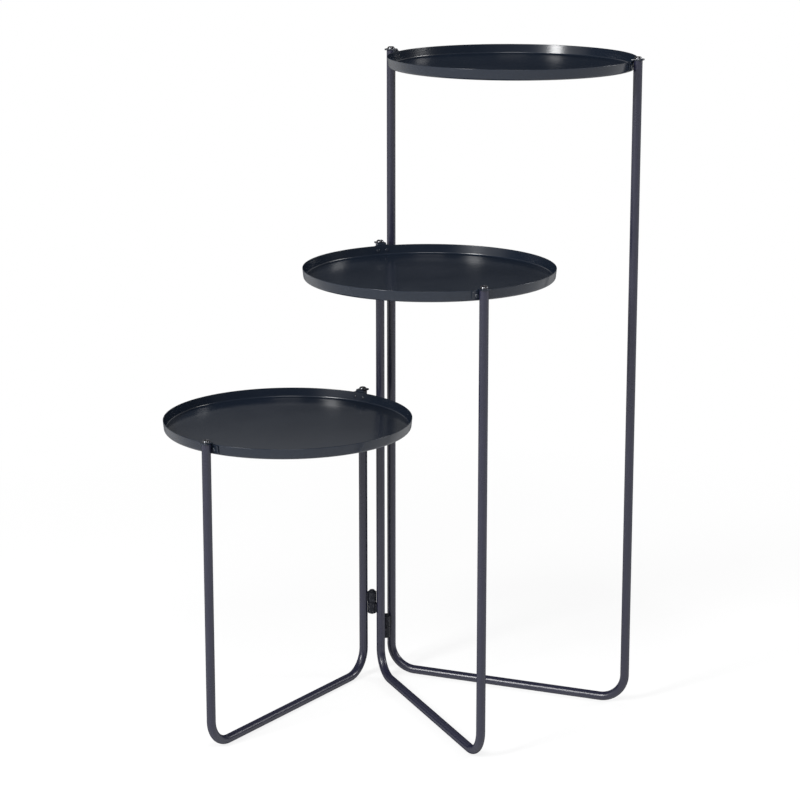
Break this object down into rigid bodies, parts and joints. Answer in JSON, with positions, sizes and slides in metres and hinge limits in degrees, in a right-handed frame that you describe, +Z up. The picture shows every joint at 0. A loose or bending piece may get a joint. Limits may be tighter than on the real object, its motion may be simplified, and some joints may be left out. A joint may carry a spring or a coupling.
{
  "type": "tiered plant stand",
  "caption": "Folding plant stand: hinged U-shaped tube frames of rising height, each holding a shallow round tray between its uprights.",
  "frame": {"origin": "on the floor, at the centre of the box round the whole stand", "axes": "+Z up; the mid frame points along -Y from the hinged uprights, the low frame to the -X side and the tall one to the +X side"},
  "size_m": [0.5429, 0.3684, 0.7521],
  "materials": {
    "powder_coated_frames": "semi-gloss",
    "powder_coated_trays": "semi-gloss",
    "blackened_screws": "satin",
    "zinc_plated_inserts": "satin"
  },
  "bodies": {
    "mid_tier": {"mid_frame": "powder_coated_frames", "mid_tray": "powder_coated_trays", "mid_inner_bracket": "powder_coated_trays", "mid_outer_bracket": "powder_coated_trays", "mid_rivets": "powder_coated_trays", "mid_screws": "blackened_screws", "mid_tube_inserts": "zinc_plated_inserts", "low_bottom_hinge_seat_knuckle": "powder_coated_frames", "low_bottom_hinge_pin": "powder_coated_frames", "low_top_hinge_seat_knuckle": "powder_coated_frames", "low_top_hinge_pin": "powder_coated_frames", "tall_bottom_hinge_seat_knuckle": "powder_coated_frames", "tall_bottom_hinge_pin": "powder_coated_frames", "tall_top_hinge_seat_knuckle": "powder_coated_frames", "tall_top_hinge_pin": "powder_coated_frames"},
    "low_tier": {"low_frame": "powder_coated_frames", "low_tray": "powder_coated_trays", "low_inner_bracket": "powder_coated_trays", "low_outer_bracket": "powder_coated_trays", "low_rivets": "powder_coated_trays", "low_screws": "blackened_screws", "low_tube_inserts": "zinc_plated_inserts", "low_bottom_hinge_swing_knuckle": "powder_coated_frames", "low_top_hinge_swing_knuckle": "powder_coated_frames"},
    "tall_tier": {"tall_frame": "powder_coated_frames", "tall_tray": "powder_coated_trays", "tall_inner_bracket": "powder_coated_trays", "tall_outer_bracket": "powder_coated_trays", "tall_rivets": "powder_coated_trays", "tall_screws": "blackened_screws", "tall_tube_inserts": "zinc_plated_inserts", "tall_bottom_hinge_swing_knuckle": "powder_coated_frames", "tall_top_hinge_swing_knuckle": "powder_coated_frames"}
  },
  "joints": [
    {"name": "low_swing", "type": "hinge", "parent": "mid_tier", "child": "low_tier", "pos_m": [-0.0003, 0.11998, 0], "axis": [0, 0, 1], "range_deg": [-63.5, 56.5]},
    {"name": "tall_swing", "type": "hinge", "parent": "mid_tier", "child": "tall_tier", "pos_m": [0.01789, 0.12046, 0], "axis": [0, 0, 1], "range_deg": [-43, 74.5]}
  ]
}
